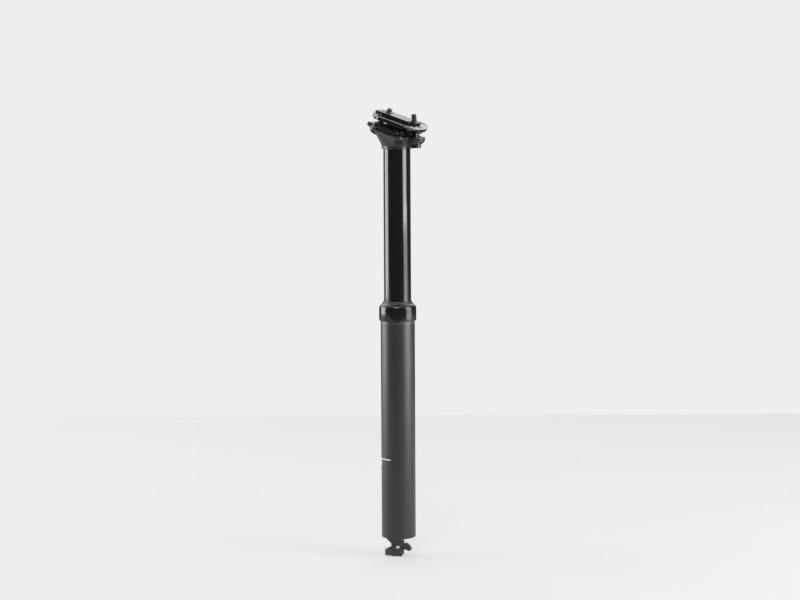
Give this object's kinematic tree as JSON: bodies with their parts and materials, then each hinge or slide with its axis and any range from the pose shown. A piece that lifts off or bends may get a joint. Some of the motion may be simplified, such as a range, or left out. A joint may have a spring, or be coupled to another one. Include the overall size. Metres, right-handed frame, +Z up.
{
  "type": "dropper seatpost",
  "caption": "Telescoping bicycle seatpost: outer tube with seal collar, sliding stanchion, tilting two-bolt saddle clamp and a cable lever under the tube.",
  "frame": {"origin": "on the tube axis, at the underside of the collar, where the seat tube's rim stops", "axes": "+Z up the post towards the saddle, +X towards the front of the bicycle, Y across it"},
  "size_m": [0.0561, 0.0512, 0.4166],
  "materials": {
    "outer_tube": "matte bead-blasted black anodising",
    "stanchion": "gloss black hard anodising",
    "collar": "gloss black anodising",
    "head": "satin black anodised forging",
    "clamp": "gloss black anodising",
    "black_steel": "black oxide",
    "actuator": "satin black anodising",
    "steel": "bright turned steel",
    "brass": "turned",
    "bare_aluminium": "machined",
    "bushing": "low-friction polymer",
    "seal": "smooth nitrile rubber"
  },
  "bodies": {
    "outer": {"outer_tube": "outer_tube", "base_plug": "actuator", "collar": "collar", "wiper_seal": "seal", "upper_bushing": "bushing", "piston_rod": "steel", "main_piston": "bare_aluminium", "piston_seal": "seal", "rod_nut": "steel", "near_side_plate": "actuator", "far_side_plate": "actuator", "plate_screws": "black_steel", "housing_stop": "actuator", "pivot_pin": "steel", "pivot_clip": "steel", "return_spring": "steel"},
    "sliding_post": {"stanchion": "stanchion", "lower_bushing": "bushing", "anti_rotation_keys": "brass", "head": "head", "cartridge_tube": "bare_aluminium", "cartridge_cap": "bare_aluminium", "cap_seal": "seal", "cartridge_retainer": "bare_aluminium", "rod_guide": "bare_aluminium", "rod_seal": "seal", "guide_seal": "seal"},
    "saddle_clamp": {"lower_cradle": "clamp", "upper_clamp": "clamp", "clamp_bolts": "black_steel", "bolt_washers": "black_steel", "barrel_nuts": "black_steel"},
    "gas_piston": {"floating_piston": "bare_aluminium", "floating_piston_seal": "seal"},
    "release_lever": {"lever": "actuator", "cable_anchor": "brass", "anchor_screw": "steel"},
    "valve_pin": {"release_pin": "steel", "pin_seal": "seal"}
  },
  "joints": [
    {"name": "post_travel", "type": "slide", "parent": "outer", "child": "sliding_post", "axis": [0, 0, 1], "range_m": [-0.13, 0], "stiffness_N_per_m": 300, "springref_m": 0.5},
    {"name": "saddle_tilt", "type": "hinge", "parent": "sliding_post", "child": "saddle_clamp", "pos_m": [0.01514, 0, 0.2188], "axis": [0, 1, 0], "range_deg": [-3.5, 2]},
    {"name": "gas_piston_slide", "type": "slide", "parent": "sliding_post", "child": "gas_piston", "axis": [0, 0, 1], "range_m": [0, 0.037]},
    {"name": "lever_pull", "type": "hinge", "parent": "outer", "child": "release_lever", "pos_m": [0, 0, -0.2121], "axis": [0.284, -0.9588, 0], "range_deg": [0, 22.05], "stiffness_Nm_per_rad": 0.004, "springref_deg": -5.73},
    {"name": "valve_pin_lift", "type": "slide", "parent": "outer", "child": "valve_pin", "axis": [0, 0, 1], "range_m": [0, 0.0015]}
  ],
  "couplings": [
    {"joint": "gas_piston_slide", "follows": "post_travel", "ratio": -0.2844},
    {"joint": "lever_pull", "follows": "valve_pin_lift", "rad_per_m": 256.41}
  ]
}
